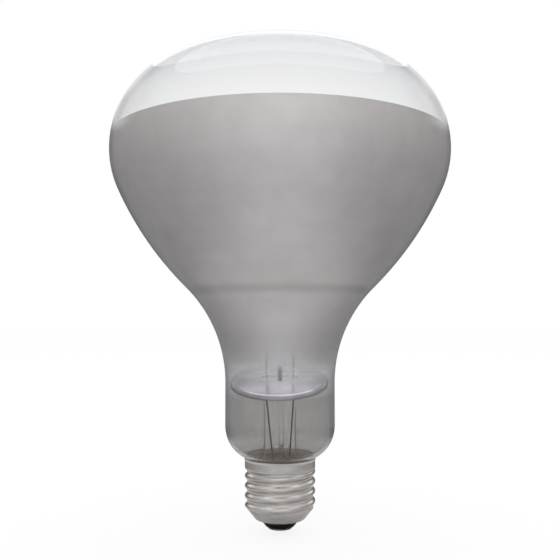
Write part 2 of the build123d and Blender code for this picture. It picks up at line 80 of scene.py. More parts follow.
def piece_from_bmesh(bm, name):
    """A smooth mesh object from a bmesh, with its real edges left sharp."""
    mesh = bpy.data.meshes.new(name)
    bm.to_mesh(mesh)
    bm.free()
    mesh.shade_smooth()
    mesh.set_sharp_from_angle(angle=SHARP)
    obj = bpy.data.objects.new(name, mesh)
    scene.collection.objects.link(obj)
    return obj


def smooth_copy(node, name):
    """A merged and smooth-shaded copy of a node's mesh."""
    bm = bmesh.new()
    bm.from_mesh(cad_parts[node].data)
    bmesh.ops.remove_doubles(bm, verts=bm.verts, dist=MERGE)
    return piece_from_bmesh(bm, name)


print("doubles merge within", MERGE / MM, "mm, edges are sharp from", round(degrees(SHARP)), "deg")

# %% [markdown]
# ## Tools for materials
# Each finish is a Principled shader with its colour, roughness and bump worked out from noise
# in Object coordinates. A picture could be painted for each, but noise has no seams and stays
# sharp close up. The first helpers start a material and add a noise and a ramp, and keep the
# finishes easy to read.

# %% Helpers for noise and tone
FINE_SHARE = 0.55


def new_material(name):
    """A material with one Principled shader, and its nodes and links."""
    material = bpy.data.materials.new(name)
    material.use_nodes = True
    tree = material.node_tree
    return material, tree, tree.nodes["Principled BSDF"]


def noise(tree, scale, detail=4.0, stretch=(1.0, 1.0, 1.0)):
    """The Fac output of a noise in Object coordinates. The scale counts spots to a metre."""
    place = tree.nodes.new("ShaderNodeTexCoord")
    mapping = tree.nodes.new("ShaderNodeMapping")
    mapping.inputs["Scale"].default_value = stretch
    texture = tree.nodes.new("ShaderNodeTexNoise")
    texture.inputs["Scale"].default_value = scale
    texture.inputs["Detail"].default_value = detail
    texture.inputs["Roughness"].default_value = FINE_SHARE
    tree.links.new(place.outputs["Object"], mapping.inputs["Vector"])
    tree.links.new(mapping.outputs["Vector"], texture.inputs["Vector"])
    return texture.outputs["Fac"]


def ramp(tree, value, stops):
    """A smooth colour ramp. A stop is (place, grey or colour)."""
    node = tree.nodes.new("ShaderNodeValToRGB")
    node.color_ramp.interpolation = "EASE"
    points = node.color_ramp.elements
    while len(points) < len(stops):
        points.new(0.5)
    for point, (place, shade) in zip(points, stops):
        point.position = place
        point.color = (*shade, 1.0) if isinstance(shade, tuple) else (shade, shade, shade, 1.0)
    tree.links.new(value, node.inputs["Fac"])
    return node.outputs["Color"]


# %% [markdown]
# ## Tools for masks
# A finish that changes with the height or the distance needs a few sums, and a Mix node lays
# one tone over another. These helpers add such nodes, and the last one turns a height into a
# bump. Each gives back an output, so that one can be fed straight into the next.

# %% Helpers for masks and bumps
def math_node(tree, operation, *values):
    """A Math node of two or three values or outputs."""
    node = tree.nodes.new("ShaderNodeMath")
    node.operation = operation
    for socket, value in zip(node.inputs, values):
        if isinstance(value, (int, float)):
            socket.default_value = value
        else:
            tree.links.new(value, socket)
    return node.outputs["Value"]


def vector_node(tree, operation, first, second=None):
    """A Vector Math node of one or two vectors or outputs."""
    node = tree.nodes.new("ShaderNodeVectorMath")
    node.operation = operation
    tree.links.new(first, node.inputs[0])
    if second is not None:
        node.inputs[1].default_value = second
    return node


def object_height(tree):
    """Height above the lamp's foot, in Object coordinates."""
    place = tree.nodes.new("ShaderNodeTexCoord")
    split = tree.nodes.new("ShaderNodeSeparateXYZ")
    tree.links.new(place.outputs["Object"], split.inputs["Vector"])
    return split.outputs["Z"]


def height_share(tree, top):
    """0 at the lamp's foot and 1 at a height."""
    spread = tree.nodes.new("ShaderNodeMapRange")
    spread.inputs["From Max"].default_value = top
    tree.links.new(object_height(tree), spread.inputs["Value"])
    return spread.outputs["Result"]


def mix_colours(tree, share, first, second, blend="MIX"):
    """A Mix node of two colours or outputs."""
    node = tree.nodes.new("ShaderNodeMix")
    node.data_type = "RGBA"
    node.blend_type = blend
    for name, value in (("Factor", share), ("A", first), ("B", second)):
        socket = next(s for s in node.inputs if s.name == name and s.enabled)
        if isinstance(value, tuple):
            socket.default_value = (*value, 1.0)
        elif isinstance(value, (int, float)):
            socket.default_value = value
        else:
            tree.links.new(value, socket)
    return next(s for s in node.outputs if s.enabled)


def add_bump(tree, shader, height, strength, distance):
    """A Bump node that feeds the shader's Normal."""
    bump = tree.nodes.new("ShaderNodeBump")
    bump.inputs["Strength"].default_value = strength
    bump.inputs["Distance"].default_value = distance
    tree.links.new(height, bump.inputs["Height"])
    tree.links.new(bump.outputs["Normal"], shader.inputs["Normal"])


# %% [markdown]
# ## Surface wear as a shared group
# Rolled and drawn metal is never one even colour. A node group gives three things that all the
# metals of the lamp use: a tone that drifts over a few millimetres, fine scratches, and a
# roughness that follows both. It is built once and placed with its own values in each metal.

# %% The shared metal group
def build_metal_group():
    """Node group with a drifting tone, a roughness and a fine height for worked metal."""
    group = bpy.data.node_groups.new("worked_metal", "ShaderNodeTree")
    face = group.interface
    for name, kind in (("Tone", "NodeSocketColor"), ("Dark Tone", "NodeSocketColor"),
                       ("Patch Scale", "NodeSocketFloat"), ("Grain Scale", "NodeSocketFloat"),
                       ("Roughness", "NodeSocketFloat"), ("Stretch", "NodeSocketVector")):
        face.new_socket(name=name, in_out="INPUT", socket_type=kind)
    for name, kind in (("Colour", "NodeSocketColor"), ("Roughness", "NodeSocketFloat"),
                       ("Height", "NodeSocketFloat")):
        face.new_socket(name=name, in_out="OUTPUT", socket_type=kind)
    start = group.nodes.new("NodeGroupInput")
    end = group.nodes.new("NodeGroupOutput")
    place = group.nodes.new("ShaderNodeTexCoord")
    mapping = group.nodes.new("ShaderNodeMapping")
    group.links.new(place.outputs["Object"], mapping.inputs["Vector"])
    group.links.new(start.outputs["Stretch"], mapping.inputs["Scale"])
    patches = group.nodes.new("ShaderNodeTexNoise")
    patches.inputs["Detail"].default_value = 5.0
    grain = group.nodes.new("ShaderNodeTexNoise")
    grain.inputs["Detail"].default_value = 3.0
    for texture, scale in ((patches, "Patch Scale"), (grain, "Grain Scale")):
        group.links.new(mapping.outputs["Vector"], texture.inputs["Vector"])
        group.links.new(start.outputs[scale], texture.inputs["Scale"])
    mask = ramp(group, patches.outputs["Fac"], [(0.35, 0.0), (0.68, 1.0)])
    colour = mix_colours(group, mask, start.outputs["Tone"], start.outputs["Dark Tone"])
    # The grain swings the roughness by a quarter either way.
    swing = math_node(group, "MULTIPLY_ADD", grain.outputs["Fac"], 0.5, 0.75)
    rough = math_node(group, "MULTIPLY", start.outputs["Roughness"], swing)
    group.links.new(colour, end.inputs["Colour"])
    group.links.new(rough, end.inputs["Roughness"])
    group.links.new(grain.outputs["Fac"], end.inputs["Height"])
    return group


metal_group = build_metal_group()
print("group", metal_group.name, "with", len(metal_group.nodes), "nodes")

# %% [markdown]
# ## The bulb's outline
# The bulb is blown into a mould, so its outline is what a mould maker cuts: a chain of arcs,
# each tangent to the next. They are the flat crown, the round shoulder, the long flank, the
# flare into the neck and the rounded neck end. A free curve through a few points could give
# the outline too, but it would bulge between them, and the inner skin would need a curve of its
# own. With arcs, a skin of the glass is the same chain with every radius changed by the wall.

# %% Corners and centres of the outline
bulb_low, bulb_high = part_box("glass_bulb")
bulb_radius = bulb_high.x
neck_radius = 20.45 * MM
seal_radius = 11.0 * MM
crown_radius = 101.0 * MM
shoulder_radius = 35.0 * MM
flank_radius = 121.0 * MM
flare_radius = 50.0 * MM
neck_end_radius = 13.0 * MM
neck_end_height = 38.7 * MM
flank_start = radians(114.4)
bulb_wall = 1.0 * MM


def on_circle(centre, radius, angle):
    """Point of a circle at an angle from straight up towards the outside."""
    return (centre[0] + radius * sin(angle), centre[1] + radius * cos(angle))


def angle_towards(centre, point):
    """Angle of the way from a centre to a point."""
    return atan2(point[0] - centre[0], point[1] - centre[1])


crown_centre = (0.0, bulb_high.z - crown_radius)
shoulder_offset = bulb_radius - shoulder_radius
shoulder_rise = sqrt((crown_radius - shoulder_radius) ** 2 - shoulder_offset**2)
shoulder_centre = (shoulder_offset, crown_centre[1] + shoulder_rise)
flank_centre = on_circle(shoulder_centre, shoulder_radius - flank_radius, flank_start)
flank_reach = neck_radius + flare_radius - flank_centre[0]
flank_drop = sqrt((flank_radius + flare_radius) ** 2 - flank_reach**2)
flare_centre = (neck_radius + flare_radius, flank_centre[1] - flank_drop)
neck_end_centre = (neck_radius - neck_end_radius, neck_end_height)
crown_end = angle_towards(crown_centre, shoulder_centre)
flank_end = angle_towards(flank_centre, flare_centre)
print("widest at", round(shoulder_centre[1] / MM, 1), "neck from", round(flare_centre[1] / MM, 1))


def side_corners(inset):
    """Corners of the long side, from the shoulder's end to the neck's end. Each has the centre
    of the arc that leads to it, or None after a straight run."""
    wall = neck_radius - inset
    return [
        (shoulder_centre, on_circle(shoulder_centre, shoulder_radius - inset, flank_start)),
        (flank_centre, on_circle(flank_centre, flank_radius - inset, flank_end)),
        (flare_centre, (wall, flare_centre[1])),
        (None, (wall, neck_end_height)),
    ]


def turned_back(corners):
    """The same corners walked the other way."""
    points = [point for _, point in corners][::-1]
    centres = [None] + [centre for centre, _ in corners[1:]][::-1]
    return list(zip(centres, points))


# %% [markdown]
# ## Turning a closed wall
# An arc is made by spinning one vertex about the arc's centre, so the drawing needs only the
# corners between arcs and their centres. Both skins of the glass are drawn as one open wire that
# starts and ends on the axis, and a full spin makes the closed wall. Solidify could thicken one
# skin instead, but it can't join the two at the foot of the seal as neatly. After the spin the
# doubles on the axis are merged and the normals are worked out again, because a spin can turn
# a shape inside out.

# %% Draw and turn an outline
ARC_STEP = 2.2 * MM
TURN_STEPS = 192


def draw_corners(bm, corners):
    """Draws the corners in the XZ plane as a wire: straight runs, and arcs spun about their
    centres. It gives back the first and the last vertex."""
    first = bm.verts.new((corners[0][1][0], 0.0, corners[0][1][1]))
    last = first
    for centre, corner in corners[1:]:
        if centre is None:
            target = Vector((corner[0], 0.0, corner[1]))
            start = last.co.copy()
            steps = max(1, round((target - start).length / ARC_STEP))
            for step in range(1, steps + 1):
                end = bm.verts.new(start.lerp(target, step / steps))
                bm.edges.new((last, end))
                last = end
            continue
        turn = angle_towards(centre, corner) - angle_towards(centre, (last.co.x, last.co.z))
        turn = (turn + pi) % (2 * pi) - pi
        radius = hypot(corner[0] - centre[0], corner[1] - centre[1])
        steps = max(3, round(abs(turn) * radius / ARC_STEP))
        made = bmesh.ops.spin(
            bm, geom=[last], cent=(centre[0], 0.0, centre[1]), axis=(0, 1, 0),
            angle=turn, steps=steps,
        )
        last = next(g for g in made["geom_last"] if isinstance(g, bmesh.types.BMVert))
    return first, last


def turn_wire(bm):
    """Spins all edges once round the axis and closes the result."""
    bmesh.ops.spin(
        bm, geom=bm.verts[:] + bm.edges[:], cent=(0, 0, 0), axis=(0, 0, 1),
        angle=2 * pi, steps=TURN_STEPS, use_merge=True,
    )
    bmesh.ops.remove_doubles(bm, verts=bm.verts, dist=MERGE)
    bmesh.ops.recalc_face_normals(bm, faces=bm.faces)
    return bm


print("arcs in steps of", round(ARC_STEP / MM, 1), "mm, turned in", TURN_STEPS, "steps")

# %% [markdown]
# ## Clear blown glass
# Real glass bends and mirrors what is behind and around it, so the shader has full
# transmission. A thin see-through sheet would be quicker, but its crown wouldn't bend the edge
# of the film or mirror the light above. Hardly any light gets through such glass to what is
# inside, so for shadow, diffuse and glossy rays it is simply absent. A wall that is seen
# edgeways is deep and grey: a Layer Weight node gives that grey, which draws the outline of the
# clear face on the white ground. A very low bump lets what the glass mirrors waver, as on
# blown glass.

# %% Blow the bulb
def build_bulb():
    """The blown glass: both skins from the crown to the foot of the seal."""
    corners = []
    for inset in (0.0, bulb_wall):
        end_radius = neck_end_radius - inset
        foot_radius = seal_radius - inset
        end_angle = pi - asin((foot_radius - neck_end_centre[0]) / end_radius)
        skin = [
            (None, on_circle(crown_centre, crown_radius - inset, 0.0)),
            (crown_centre, on_circle(crown_centre, crown_radius - inset, crown_end)),
            *side_corners(inset),
            (neck_end_centre, on_circle(neck_end_centre, end_radius, end_angle)),
            (None, (foot_radius, bulb_low.z)),
        ]
        corners += skin if inset == 0.0 else turned_back(skin)
    bm = bmesh.new()
    draw_corners(bm, corners)
    return piece_from_bmesh(turn_wire(bm), "clear_bulb")


def let_light_through(tree, shader):
    """Alpha that is there for the camera and for bent rays, and absent for rays that carry
    light. A bent ray counts as glossy too, so it is told apart by being a transmission ray."""
    path = tree.nodes.new("ShaderNodeLightPath").outputs
    mirrored = math_node(tree, "GREATER_THAN", path["Is Glossy Ray"], path["Is Transmission Ray"])
    scattered = math_node(tree, "MAXIMUM", path["Is Shadow Ray"], path["Is Diffuse Ray"])
    carrying = math_node(tree, "MAXIMUM", mirrored, scattered)
    tree.links.new(math_node(tree, "SUBTRACT", 1.0, carrying), shader.inputs["Alpha"])


def clear_glass(name, bend):
    """Clear glass that bends rays by an index. It gives back its nodes too."""
    material, tree, shader = new_material(name)
    shader.inputs["Roughness"].default_value = 0.0
    shader.inputs["Transmission Weight"].default_value = 1.0
    shader.inputs["IOR"].default_value = bend
    let_light_through(tree, shader)
    return material, tree, shader


BLOWN_GLASS_BEND = 1.5
GLASS_WAVE = 0.3 * MM


def bulb_glass_finish():
    """Clear glass that is grey where it is seen edgeways and wavers a little."""
    material, tree, shader = clear_glass("blown_clear_glass", BLOWN_GLASS_BEND)
    edgeways = tree.nodes.new("ShaderNodeLayerWeight").outputs["Facing"]
    tint = ramp(tree, edgeways, [(0.72, (0.98, 0.985, 0.988)), (0.88, (0.66, 0.67, 0.68))])
    tree.links.new(tint, shader.inputs["Base Color"])
    add_bump(tree, shader, noise(tree, 22.0, 2.0), 0.12, GLASS_WAVE)
    return material


finish_piece(build_bulb(), "glass_bulb", bulb_glass_finish())

# %% [markdown]
# ## The silvered lining
# The film is aluminium that was evaporated inside the bulb, and it ends in a sharp edge under
# the face. It could be a second material on the inner skin of the glass, but the film is a piece
# of its own, so it is a closed ring between two skins of the same chain of arcs. It sticks to
# the glass with no air between, so its outer skin lies a hair inside the wall: an air gap
# would show as a light band along the outline.

# %% Film shape
film_bite = 0.03 * MM
film_thickness = 0.15 * MM
film_fade = 1.6 * MM
film_low, film_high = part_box("reflector_film")
film_end = film_low.z - film_fade


def build_film():
    """The lining as a closed ring between two skins."""
    corners = []
    for inset in (bulb_wall - film_bite, bulb_wall + film_thickness):
        start = acos((film_high.z - shoulder_centre[1]) / (shoulder_radius - inset))
        end = acos((film_end - neck_end_centre[1]) / (neck_end_radius - inset))
        skin = [
            (None, on_circle(shoulder_centre, shoulder_radius - inset, start)),
            *side_corners(inset),
            (neck_end_centre, on_circle(neck_end_centre, neck_end_radius - inset, end)),
        ]
        corners += skin if not corners else turned_back(skin)
    bm = bmesh.new()
    first, last = draw_corners(bm, corners)
    bm.edges.new((last, first))
    return piece_from_bmesh(turn_wire(bm), "silver_lining")


print("film from", round(film_end / MM, 1), "to", round(film_high.z / MM, 1), "mm")

# %% [markdown]
# ## Silver that thins out
# Seen through the glass the film is a satin grey, with faint bands round the axis. A darker soft
# ring where the bowl passes into the flare is painted shade: it stands for the dimmer reflection
# at that bend. In the neck the film gets so thin that light comes through, and below the heat
# shield it is only a brownish breath. The metal thins out with the way from where it was
# evaporated, so one share of the height drives both its tone and its Alpha, and noise breaks
# them up.

# %% Film finish
SHADE_RING_HEIGHT = 89.0 * MM
HALF_SHADE_RING = 2.5 * MM
SHIELD_HEIGHT = 54.0 * MM
ROWS_TOP = 160.0 * MM


def film_finish():
    """Satin aluminium behind glass that thins out down the neck, with a ring of painted shade at
    the flare.
    """
    material, tree, shader = new_material("evaporated_aluminium")
    rows = height_share(tree, ROWS_TOP)
    thin, shade_ring, half_shade_ring = (h / ROWS_TOP for h in (SHIELD_HEIGHT, SHADE_RING_HEIGHT, HALF_SHADE_RING))
    silver = (0.8, 0.76, 0.755)
    tone = ramp(tree, rows, [
        (thin - 0.03, (0.18, 0.135, 0.105)),
        (thin - 0.005, (0.5, 0.49, 0.51)),
        (thin + 0.05, (0.78, 0.76, 0.765)),
        # painted shade: a darker soft ring at the bend from the bowl into the flare
        (shade_ring - half_shade_ring, silver),
        (shade_ring, (0.66, 0.625, 0.62)),
        (shade_ring + half_shade_ring, silver),
    ])
    clouds = ramp(tree, noise(tree, 26.0, 5.0, (1, 1, 0.5)), [(0.3, 0.95), (0.7, 1.0)])
    bands = ramp(tree, noise(tree, 240.0, 2.0, (0.02, 0.02, 1)), [(0.3, 0.975), (0.7, 1.0)])
    shaded = mix_colours(tree, 1.0, tone, clouds, "MULTIPLY")
    shaded = mix_colours(tree, 1.0, shaded, bands, "MULTIPLY")
    tree.links.new(shaded, shader.inputs["Base Color"])
    shader.inputs["Metallic"].default_value = 1.0
    rough = ramp(tree, noise(tree, 90.0, 4.0), [(0.3, 0.42), (0.7, 0.5)])
    tree.links.new(rough, shader.inputs["Roughness"])
    cover = ramp(tree, rows, [
        (thin - 0.03, 0.31),
        (thin - 0.005, 0.27),
        (thin + 0.03, 0.32),
        (thin + 0.065, 0.52),
        (thin + 0.1, 0.85),
        (thin + 0.16, 1.0),
    ])
    broken = ramp(tree, noise(tree, 130.0, 4.0), [(0.3, 0.94), (0.7, 1.0)])
    tree.links.new(mix_colours(tree, 1.0, cover, broken, "MULTIPLY"), shader.inputs["Alpha"])
    return material


finish_piece(build_film(), "reflector_film", film_finish())

# %% [markdown]
# ## Metals of the inner parts and the cap
# All of them use the shared group, each with its own tones, scale of patches and roughness.
# Nine sets of nodes would do the same, but a change to the wear would then be made nine times.
# The outer leads are near black, the shield is bright and a little mottled, and the cap is a
# warm grey bright sheet, with its grain drawn out round the thread.

# %% Metal finishes
METAL_GRAIN = 0.05 * MM


def worked_metal(name, tone, dark, rough, patch, grain, bump=0.05, stretch=(1, 1, 1)):
    """A metal with the shared group's tone, roughness and fine height."""
    material, tree, shader = new_material(name)
    group = tree.nodes.new("ShaderNodeGroup")
    group.node_tree = metal_group
    group.inputs["Tone"].default_value = (*tone, 1.0)
    group.inputs["Dark Tone"].default_value = (*dark, 1.0)
    group.inputs["Patch Scale"].default_value = patch
    group.inputs["Grain Scale"].default_value = grain
    group.inputs["Roughness"].default_value = rough
    group.inputs["Stretch"].default_value = stretch
    shader.inputs["Metallic"].default_value = 1.0
    tree.links.new(group.outputs["Colour"], shader.inputs["Base Color"])
    tree.links.new(group.outputs["Roughness"], shader.inputs["Roughness"])
    add_bump(tree, shader, group.outputs["Height"], bump, METAL_GRAIN)
    print("metal", name, "with a roughness of about", rough)
    return material


shield_metal = worked_metal(
    "bright_shield_sheet", (0.95, 0.94, 0.95), (0.7, 0.67, 0.77), 0.18, 110.0, 900.0, 0.06)
cap_metal = worked_metal(
    "rolled_cap_sheet", (0.77, 0.74, 0.715), (0.62, 0.585, 0.555), 0.24, 160.0, 1400.0, 0.12,
    (1, 1, 3))
tungsten = worked_metal(
    "drawn_tungsten", (0.3, 0.3, 0.31), (0.2, 0.2, 0.21), 0.4, 400.0, 4000.0)
hook_metal = worked_metal(
    "molybdenum_wire", (0.42, 0.42, 0.43), (0.32, 0.32, 0.33), 0.35, 400.0, 4000.0)
lead_metal = worked_metal(
    "nickel_wire", (0.6, 0.57, 0.52), (0.45, 0.42, 0.38), 0.35, 300.0, 3000.0)
clad_metal = worked_metal(
    "copper_clad_wire", (0.6, 0.3, 0.2), (0.4, 0.18, 0.12), 0.4, 500.0, 3000.0)
dark_lead_metal = worked_metal(
    "near_black_lead_wire", (0.05, 0.045, 0.04), (0.03, 0.027, 0.025), 0.5, 300.0, 3000.0)
contact_metal = worked_metal(
    "dull_contact_metal", (0.35, 0.33, 0.3), (0.2, 0.19, 0.17), 0.45, 500.0, 3000.0)
solder_metal = worked_metal(
    "dull_solder", (0.36, 0.36, 0.37), (0.24, 0.24, 0.25), 0.5, 700.0, 3000.0, 0.2)

# %% [markdown]
# ## Black glass and cement
# The insulator is cast black glass with a faint cast texture. Its shine is held low, or it
# would mirror the white floor. The cement between glass and cap is a baked, gritty, pale brown
# mass. Neither is metal or clear, so one plain finish makes both, each with its own numbers.

# %% Black glass and cement finishes
CAST_GRAIN = 0.08 * MM


def plain_finish(name, tone, dark, rough, patch, bump, shine=0.5):
    """A finish that isn't metal, with a drifting tone and a fine bump."""
    material, tree, shader = new_material(name)
    shader.inputs["Specular IOR Level"].default_value = shine
    mask = ramp(tree, noise(tree, patch, 5.0), [(0.35, 0.0), (0.68, 1.0)])
    tree.links.new(mix_colours(tree, mask, tone, dark), shader.inputs["Base Color"])
    grain = noise(tree, patch * 8.0, 3.0)
    low, high = rough
    tree.links.new(ramp(tree, grain, [(0.3, low), (0.7, high)]), shader.inputs["Roughness"])
    add_bump(tree, shader, grain, bump, CAST_GRAIN)
    return material


black_glass = plain_finish(
    "black_cast_glass", (0.006, 0.006, 0.006), (0.01, 0.0095, 0.009), (0.12, 0.22), 150.0, 0.06,
    shine=0.08)
cement = plain_finish(
    "baked_cement", (0.6, 0.54, 0.45), (0.45, 0.38, 0.3), (0.7, 0.9), 400.0, 0.6)
print("plain finishes", black_glass.name, cement.name)

# %% [markdown]
# ## Glass of the stem
# The stem, the exhaust tube and the rod are clear glass too, but the photograph shows them only
# as faint streaks behind the thinning silver. Glass that bends light as much as the bulb's would
# mirror the whole room there, so this one bends it very little. The exhaust tube's bore ends in
# the press, where the bent light makes a short dark stroke. That stroke is painted shade: a mask
# of the distance from the axis and of two heights darkens the glass at that place.

# %% Stem glass finish
STEM_GLASS_BEND = 1.06
BORE_SHADE_REACH = 1.0 * MM
BORE_SHADE_LOW = 53.3 * MM
BORE_SHADE_HIGH = 60.85 * MM


def stem_glass_finish():
    """Clear glass that hardly bends light, with painted shade along the bore in the press."""
    material, tree, shader = clear_glass("stem_glass", STEM_GLASS_BEND)
    place = tree.nodes.new("ShaderNodeTexCoord").outputs["Object"]
    level = vector_node(tree, "MULTIPLY", place, (1.0, 1.0, 0.0)).outputs["Vector"]
    reach = vector_node(tree, "LENGTH", level).outputs["Value"]
    height = object_height(tree)
    near_axis = math_node(tree, "LESS_THAN", reach, BORE_SHADE_REACH)
    above_foot = math_node(tree, "GREATER_THAN", height, BORE_SHADE_LOW)
    below_tip = math_node(tree, "LESS_THAN", height, BORE_SHADE_HIGH)
    between = math_node(tree, "MULTIPLY", above_foot, below_tip)
    bore_shade = math_node(tree, "MULTIPLY", near_axis, between)
    # painted shade: the glass along the bore is tinted near black
    tint = mix_colours(tree, bore_shade, (0.98, 0.985, 0.98), (0.01, 0.01, 0.01))
    tree.links.new(tint, shader.inputs["Base Color"])
    return material


stem_glass = stem_glass_finish()
print("stem glass", stem_glass.name, "bends by", STEM_GLASS_BEND)

# %% [markdown]
# ## Pieces that keep the node's form
# Leads, hooks, stem, cement, cap, insulator, contact and solder are small turned or bent pieces
# whose solids are already right, the cap's rolled thread too. They could be built again, but
# that would only copy them. Each gets a merged smooth copy and its finish.

# %% Dress the small pieces
HOOKS = [f"support_hook_{number}" for number in range(1, 6)]
SMALL_PIECES = [
    (["glass_stem", "exhaust_tube", "centre_rod"], stem_glass, "stem_glass"),
    (HOOKS, hook_metal, "hook_wire"),
    (["left_inner_lead", "right_inner_lead"], lead_metal, "nickel_wire"),
    (["left_seal_wire", "right_seal_wire"], clad_metal, "copper_clad_wire"),
    (["left_outer_lead", "right_outer_lead"], dark_lead_metal, "tinned_wire"),
    (["basing_cement"], cement, "cement"),
    (["cap_shell"], cap_metal, "cap_aluminium"),
    (["cap_insulator"], black_glass, "black_glass"),
    (["centre_contact"], contact_metal, "contact_metal"),
    (["contact_solder", "side_solder"], solder_metal, "solder"),
]
for nodes, material, slot in SMALL_PIECES:
    for node in nodes:
        finish_piece(smooth_copy(node, f"finished_{node}"), node, material)

# %% [markdown]
# ## The heat shield
# The shield is a pressed disc of bright sheet that sits askew on the stem's press, its near side
# low. Its edge is turned down in a wide round, which catches the light as a bright crescent. A
# bevel on a thick disc could round the edge, but the sheet wouldn't keep its thickness there.
# So a ring is bridged to the rounded slot for the press, its outer edge is pulled out and down
# step by step along the round, and the sheet then gets its thickness.

# %% Press the heat shield
SHIELD_SHEET = 0.4 * MM
SHIELD_EDGE = 1.9 * MM
SHIELD_TILT = radians(15.5)
SHIELD_ROLL = radians(-1.1)
SHIELD_STEPS = 8
SHIELD_SEGMENTS = 96
shield_radius = 18.3 * MM
shield_middle = 56.1 * MM
shield_shift = -0.35 * MM
slot_end_radius = 2.8 * MM
slot_end_place = 4.4 * MM


def build_shield():
    """Flat ring round a slot, with a turned-down edge, tilted into place."""
    bm = bmesh.new()
    slot = bmesh.ops.create_circle(bm, segments=SHIELD_SEGMENTS, radius=slot_end_radius)["verts"]
    for side in (-1, 1):
        half = [v for v in slot if side * v.co.x > MERGE]
        bmesh.ops.translate(bm, verts=half, vec=(side * slot_end_place, 0, 0))
    flat_radius = shield_radius - SHIELD_EDGE
    bmesh.ops.create_circle(bm, segments=SHIELD_SEGMENTS, radius=flat_radius)
    bmesh.ops.bridge_loops(bm, edges=bm.edges[:])
    rim = [e for e in bm.edges if min(v.co.length for v in e.verts) > flat_radius - MERGE]
    for step in range(1, SHIELD_STEPS + 1):
        before, now = ((pi / 2) * (step - n) / SHIELD_STEPS for n in (1, 0))
        grown = bmesh.ops.extrude_edge_only(bm, edges=rim)["geom"]
        rim = [g for g in grown if isinstance(g, bmesh.types.BMEdge)]
        verts = [g for g in grown if isinstance(g, bmesh.types.BMVert)]
        wider = (flat_radius + SHIELD_EDGE * sin(now)) / (flat_radius + SHIELD_EDGE * sin(before))
        bmesh.ops.scale(bm, verts=verts, vec=(wider, wider, 1.0))
        bmesh.ops.translate(bm, verts=verts, vec=(0, 0, SHIELD_EDGE * (cos(now) - cos(before))))
    bmesh.ops.recalc_face_normals(bm, faces=bm.faces)
    bmesh.ops.solidify(bm, geom=bm.faces[:], thickness=SHIELD_SHEET)
    bmesh.ops.recalc_face_normals(bm, faces=bm.faces)
    askew = Matrix.Rotation(SHIELD_ROLL, 4, "Y") @ Matrix.Rotation(SHIELD_TILT, 4, "X")
    seated = Matrix.Translation((shield_shift, 0, shield_middle)) @ askew
    bmesh.ops.transform(bm, matrix=seated, verts=bm.verts)
    return piece_from_bmesh(bm, "pressed_shield")


finish_piece(build_shield(), "heat_shield", shield_metal)

# %% [markdown]
# ## The coiled filament
# The heat comes from a coil of tungsten wire that hangs as an open ring on its hooks. A profile
# spun along a screw would make a straight coil that then has to be bent. So the coil is a curve
# whose points wind round the ring, given the wire's thickness by the curve's bevel.

# %% Wind the filament
ring_low, ring_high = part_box("filament")
coil_radius = (ring_high.z - ring_low.z) / 2
wire_radius = 0.12 * MM
ring_radius = (ring_high.x - ring_low.x) / 2 - coil_radius
ring_height = (ring_high.z + ring_low.z) / 2
ring_gap = radians(46.0)
coil_pitch = 0.5 * MM
POINTS_PER_TURN = 12


def wind_filament():
    """The coil as a mesh made from a bevelled curve."""
    sweep = 2 * pi - ring_gap
    turns = round(sweep * ring_radius / coil_pitch)
    count = turns * POINTS_PER_TURN + 1
    curve = bpy.data.curves.new("filament_winding", "CURVE")
    curve.dimensions = "3D"
    curve.bevel_depth = wire_radius
    curve.bevel_resolution = 1
    curve.use_fill_caps = True
    spline = curve.splines.new("POLY")
    spline.points.add(count - 1)
    for index, point in enumerate(spline.points):
        azimuth = pi / 2 + ring_gap / 2 + sweep * index / (count - 1)
        wind = 2 * pi * index / POINTS_PER_TURN
        reach = ring_radius + (coil_radius - wire_radius) * cos(wind)
        height = ring_height + (coil_radius - wire_radius) * sin(wind)
        point.co = (reach * cos(azimuth), reach * sin(azimuth), height, 1.0)
    winding = bpy.data.objects.new("filament_winding", curve)
    scene.collection.objects.link(winding)
    depsgraph = bpy.context.evaluated_depsgraph_get()
    mesh = bpy.data.meshes.new_from_object(winding.evaluated_get(depsgraph))
    bpy.data.objects.remove(winding)
    mesh.shade_smooth()
    obj = bpy.data.objects.new("coiled_filament", mesh)
    scene.collection.objects.link(obj)
    return obj


finish_piece(wind_filament(), "filament", tungsten)

# %% [markdown]
# ## Light by direction
# The lamp was photographed in a white tent: bright in front, darker at the sides and behind,
# and bright above. That is what gives the satin film a light middle and darker flanks. Several
# lamps could do it, but each would show as a spot in the film. One function gives a share that
# is 1 in front of the lamp and 0 behind it, for the room as well as for the floor.

# %% Share of front
def front_share(tree, place):
    """1 straight in front of the lamp, 0 straight behind it, by the level direction."""
    level = vector_node(tree, "MULTIPLY", place, (1.0, 1.0, 0.0))
    unit = vector_node(tree, "NORMALIZE", level.outputs["Vector"])
    facing = vector_node(tree, "DOT_PRODUCT", unit.outputs["Vector"], (0.0, -0.5, 0.0))
    return math_node(tree, "ADD", facing.outputs["Value"], 0.5)


def seen_directly(tree):
    """1 for rays of the camera and rays seen through glass."""
    path = tree.nodes.new("ShaderNodeLightPath").outputs
    return math_node(tree, "MAXIMUM", path["Is Camera Ray"], path["Is Transmission Ray"])


# %% [markdown]
# ## Floor
# The floor is a pale sheet. For the camera it is mostly its own glow, so that it reads white and
# still takes a faint shadow of the lamp. A plain white floor would do for the camera, but the
# silver bowl mirrors it. So to the lamp its colour is painted light and shade of the room: lighter
# in front, darker behind, with a painted ring of shade at some distance and a painted pale pool
# round the foot.

# %% Lay the floor
FLOOR_REACH = 4.0
FLOOR_DROP = 0.3 * MM


